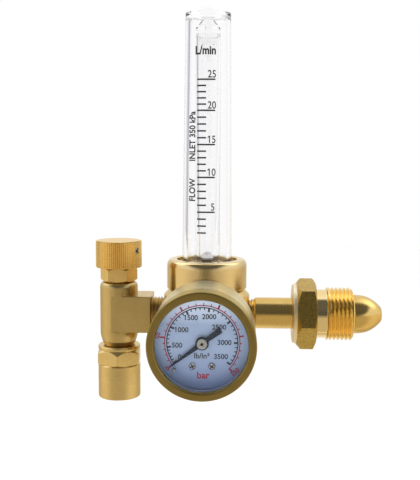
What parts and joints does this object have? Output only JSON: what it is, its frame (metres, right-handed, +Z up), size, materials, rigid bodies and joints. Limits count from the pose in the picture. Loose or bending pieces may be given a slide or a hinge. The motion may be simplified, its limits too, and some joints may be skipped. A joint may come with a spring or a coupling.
{
  "type": "gas regulator",
  "caption": "Brass shielding-gas flow regulator with a threaded cylinder connection, round contents gauge, clear float tube, knurled needle-valve knob and downward threaded outlet.",
  "frame": {"origin": "end of the inlet nose, on the inlet axis", "axes": "+X out of the inlet towards the cylinder valve, +Y away from the gauge face, +Z up along the flow tube"},
  "size_m": [0.1322, 0.0722, 0.1777],
  "materials": {
    "brass_body": "turned brass",
    "brass_collar": "turned brass",
    "brass_cap": "turned brass",
    "brass_inlet": "turned brass",
    "brass_nut": "turned brass",
    "brass_valve": "turned brass",
    "brass_packing": "turned brass",
    "brass_knob": "turned brass",
    "brass_outlet": "turned brass",
    "brass_case": "turned brass",
    "brass_bezel": "turned brass",
    "brass_gland": "turned brass",
    "brass_inner": "turned brass",
    "bronze": "dull bronze",
    "clear_cover": "clear moulded plastic",
    "clear_tube": "clear moulded plastic",
    "clear_stop": "clear moulded plastic",
    "clear_lens": "clear moulded plastic",
    "steel_ball": "bright steel",
    "steel": "bright steel",
    "dial_white": "pale matt paint",
    "pointer_black": "black paint",
    "bright_metal": "bright aluminium",
    "rubber": "black rubber",
    "nylon": "pale nylon"
  },
  "bodies": {
    "regulator": {"regulator_body": "brass_body", "tube_socket": "brass_collar", "body_cap": "brass_cap", "passage_plug": "brass_cap", "inlet_nipple": "brass_inlet", "valve_body": "brass_valve", "valve_nipple": "brass_valve", "packing_nut": "brass_packing", "outlet_fitting": "brass_outlet", "gauge_case": "brass_case", "gauge_stem": "brass_case", "gauge_bezel": "brass_bezel", "tube_gland": "brass_gland", "tube_base": "brass_gland", "movement_front_plate": "brass_inner", "movement_back_plate": "brass_inner", "movement_pillar_left": "brass_inner", "movement_pillar_right": "brass_inner", "bourdon_tip": "brass_inner", "inlet_filter": "bronze", "outlet_washer": "bronze", "bourdon_tube": "bronze", "hairspring": "bronze", "tube_cover": "clear_cover", "metering_tube": "clear_tube", "float_stop": "clear_stop", "gauge_lens": "clear_lens", "main_spring": "steel", "poppet_spring": "steel", "spring_seat": "steel", "dial_screw_left": "steel", "dial_screw_right": "steel", "case_screw_left": "steel", "case_screw_right": "steel", "gauge_dial": "dial_white", "stop_pin": "bright_metal", "cap_o_ring": "rubber", "cover_o_ring": "rubber", "tube_o_ring": "rubber", "lens_gasket": "rubber", "valve_seat": "nylon", "packing_ring": "nylon"},
    "piston": {"piston": "brass_inner", "piston_o_ring": "rubber"},
    "poppet": {"poppet": "brass_inner"},
    "float": {"float_ball": "steel_ball"},
    "stem_seal": {"stem_o_ring": "rubber"},
    "knob": {"flow_knob": "brass_knob", "valve_stem": "steel", "knob_set_screw": "steel"},
    "cylinder_nut": {"inlet_nut": "brass_nut"},
    "sector": {"sector_gear": "brass_inner"},
    "link": {"movement_link": "brass_inner"},
    "gauge_hand": {"pointer": "pointer_black", "pointer_hub": "bright_metal", "pinion_arbor": "steel"}
  },
  "joints": [
    {"name": "knob_lift", "type": "slide", "parent": "regulator", "child": "stem_seal", "axis": [0, 0, 1], "range_m": [0, 0.0015]},
    {"name": "knob_turn", "type": "hinge", "parent": "stem_seal", "child": "knob", "pos_m": [-0.1216, 0, 0.0277], "axis": [0, 0, 1], "range_deg": [0, 720]},
    {"name": "nut_turn", "type": "hinge", "parent": "regulator", "child": "cylinder_nut", "pos_m": [-0.03, 0, 0], "axis": [1, 0, 0], "continuous": true},
    {"name": "float_rise", "type": "slide", "parent": "regulator", "child": "float", "axis": [0, 0, 1], "range_m": [0, 0.0925]},
    {"name": "piston_slide", "type": "slide", "parent": "regulator", "child": "piston", "axis": [0, 0, -1], "range_m": [0, 0.001], "stiffness_N_per_m": 600, "springref_m": -0.003, "deforming": ["main_spring"]},
    {"name": "poppet_slide", "type": "slide", "parent": "regulator", "child": "poppet", "axis": [0, 0, -1], "range_m": [0, 0.001], "deforming": ["poppet_spring"]},
    {"name": "sector_turn", "type": "hinge", "parent": "regulator", "child": "sector", "pos_m": [-0.0806, -0.0385, 0.00649], "axis": [0, -1, 0], "range_deg": [0, 42], "stiffness_Nm_per_rad": 0.001, "springref_deg": -17.19},
    {"name": "link_turn", "type": "hinge", "parent": "sector", "child": "link", "pos_m": [-0.07917, -0.037, 0.01022], "axis": [0, 1, 0], "range_deg": [0, 42]},
    {"name": "pointer_turn", "type": "hinge", "parent": "regulator", "child": "gauge_hand", "pos_m": [-0.0806, -0.045, -0.004], "axis": [0, 1, 0], "range_deg": [0, 252]}
  ],
  "couplings": [
    {"joint": "knob_turn", "follows": "knob_lift", "rad_per_m": 8377.5},
    {"joint": "poppet_slide", "follows": "piston_slide", "ratio": 1},
    {"joint": "link_turn", "follows": "sector_turn", "ratio": 1},
    {"joint": "pointer_turn", "follows": "sector_turn", "ratio": 6}
  ]
}
